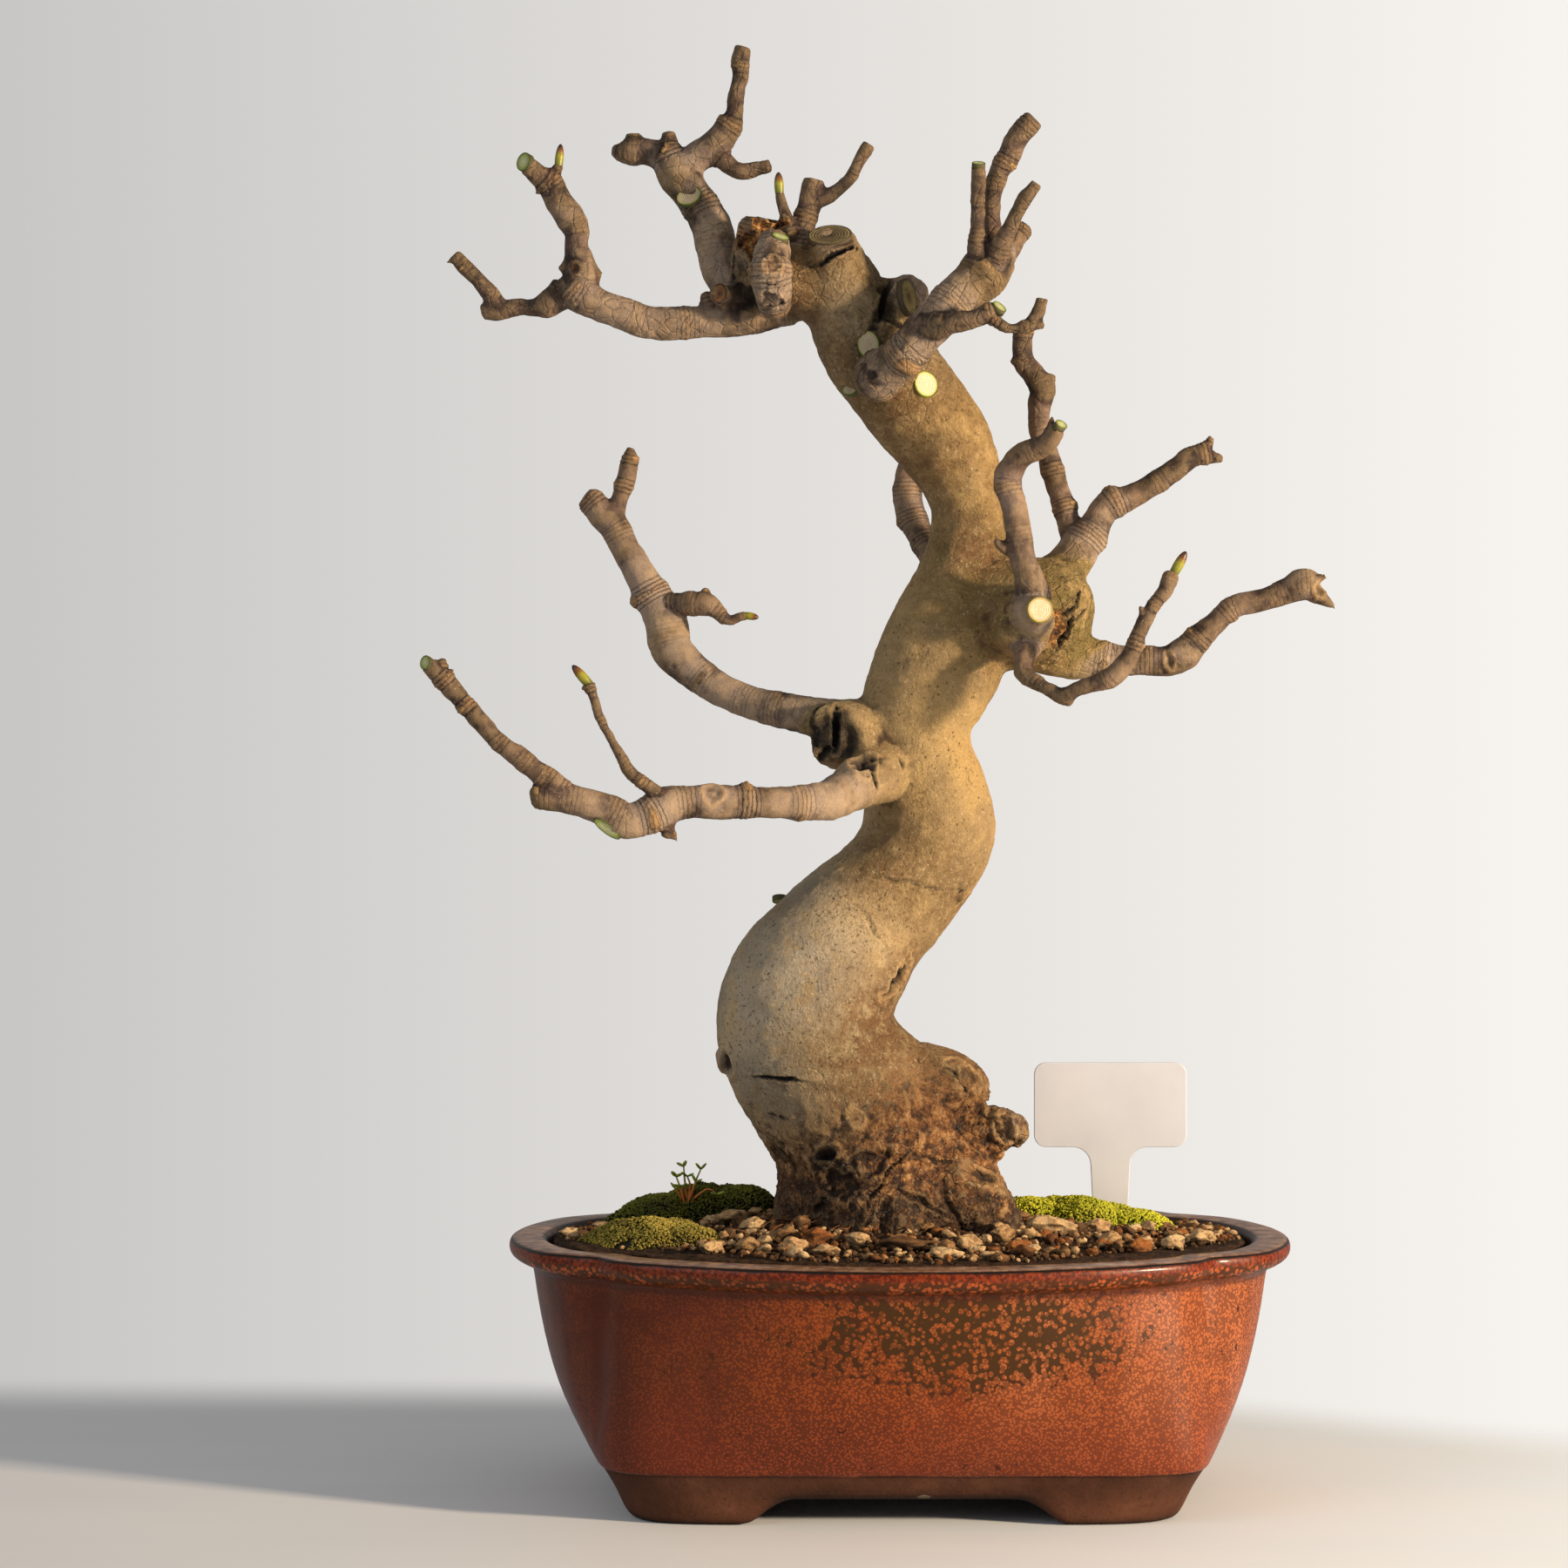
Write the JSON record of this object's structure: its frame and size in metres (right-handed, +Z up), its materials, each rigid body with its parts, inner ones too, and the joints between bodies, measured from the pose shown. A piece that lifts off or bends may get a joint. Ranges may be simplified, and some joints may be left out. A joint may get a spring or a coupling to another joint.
{
  "type": "ficus bonsai",
  "caption": "Bare, hard-pruned fig bonsai with a curved trunk in a lobed, glazed oval pot on cut-out feet, with stones, moss and a blank plant label.",
  "frame": {"origin": "under the middle of the whole plant's box, on the surface that the pot's feet stand on", "axes": "+Z up along the tree, -Y towards the front of the pot, +X to the right seen from the front, along the pot's length"},
  "size_m": [0.3544, 0.232, 0.5739],
  "materials": {
    "bark": "matte",
    "glaze": "gloss",
    "net": "matte",
    "soil": "matte",
    "stones": "matte",
    "dark_moss": "matte",
    "light_moss": "matte",
    "label": "satin",
    "sprout": "matte"
  },
  "bodies": {
    "root": {"tree": "bark", "pot": "glaze", "drain_mesh_left": "net", "drain_mesh_right": "net", "soil": "soil", "gravel": "stones", "moss_left_back": "dark_moss", "moss_left_front": "light_moss", "moss_right": "light_moss", "label": "label", "sprout": "sprout"}
  },
  "joints": []
}
